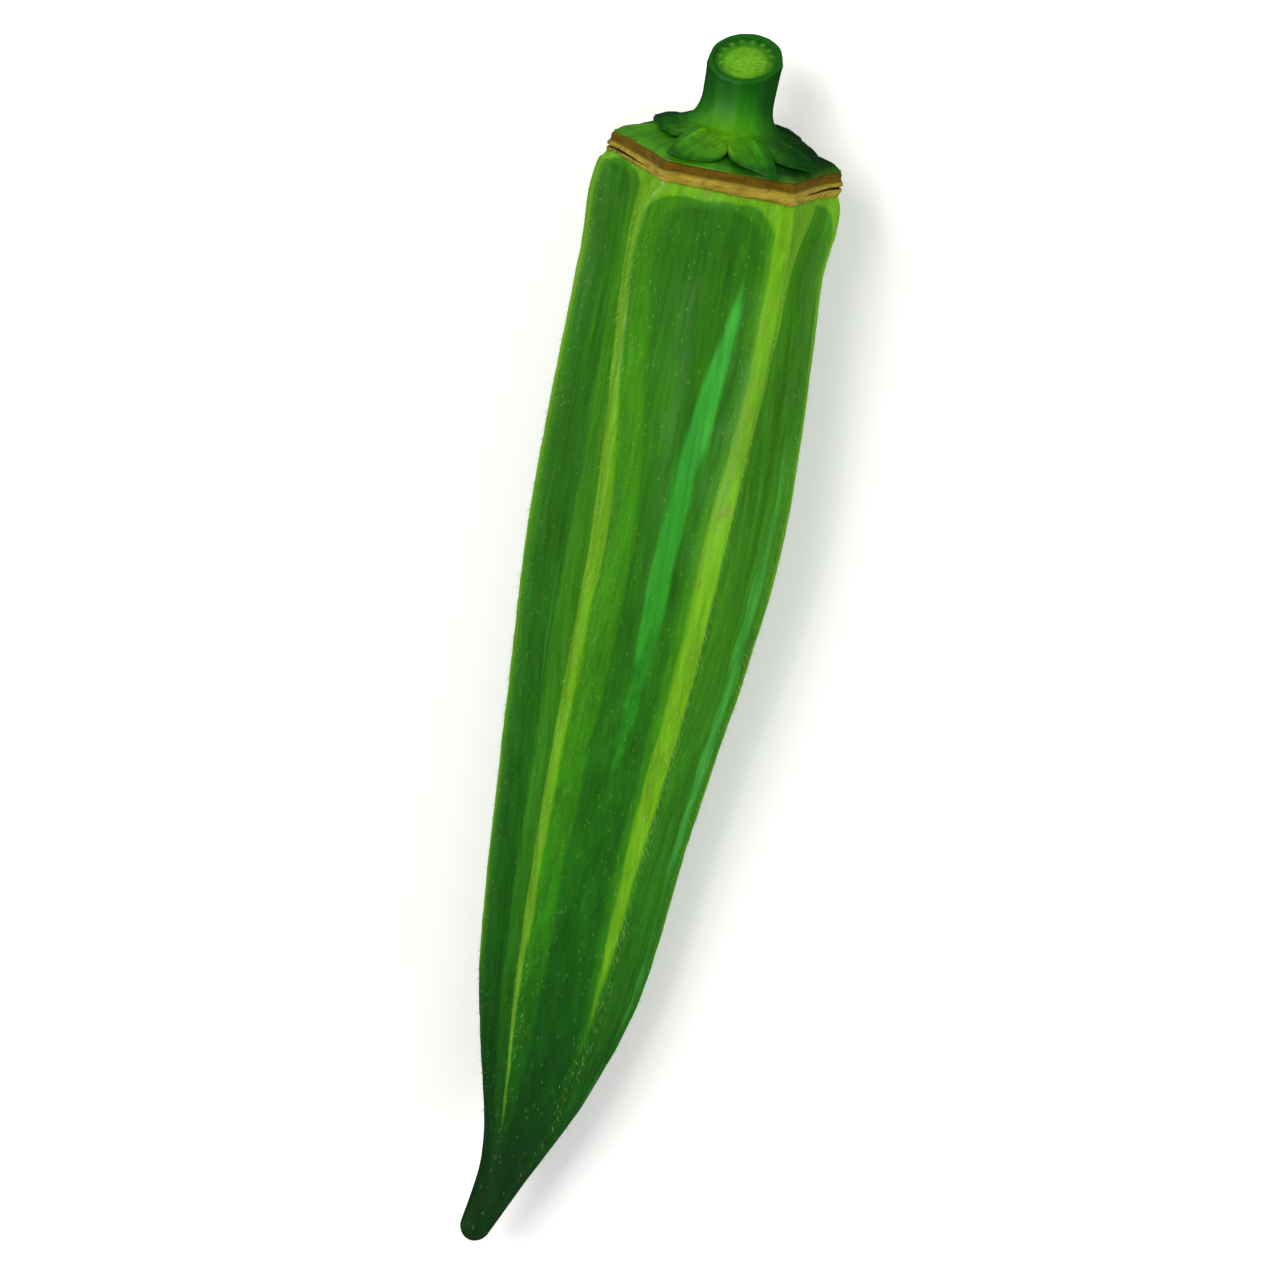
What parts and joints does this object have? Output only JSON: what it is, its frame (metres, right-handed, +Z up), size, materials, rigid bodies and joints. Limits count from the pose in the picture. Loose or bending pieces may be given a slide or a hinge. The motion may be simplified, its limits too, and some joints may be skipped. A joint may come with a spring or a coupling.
{
  "type": "okra pod",
  "caption": "Fresh okra pod lying down: ridged, tapering green seed pod with a hooked beak, a corky scar ring, a domed crown and a short cut stem spreading into pointed sepals.",
  "frame": {"origin": "on the table that the pod lies on, under the middle of the whole pod and stem", "axes": "+Z up from the table, +Y along the pod from its beak towards its cut stem, +X to the side"},
  "size_m": [0.0228, 0.1144, 0.0196],
  "materials": {
    "pod_skin": "satin",
    "scar_cork": "matte",
    "crown_skin": "satin",
    "stem_skin": "satin"
  },
  "bodies": {
    "root": {"pod": "pod_skin", "scar_ring": "scar_cork", "crown": "crown_skin", "stem_with_sepals": "stem_skin"}
  },
  "joints": []
}
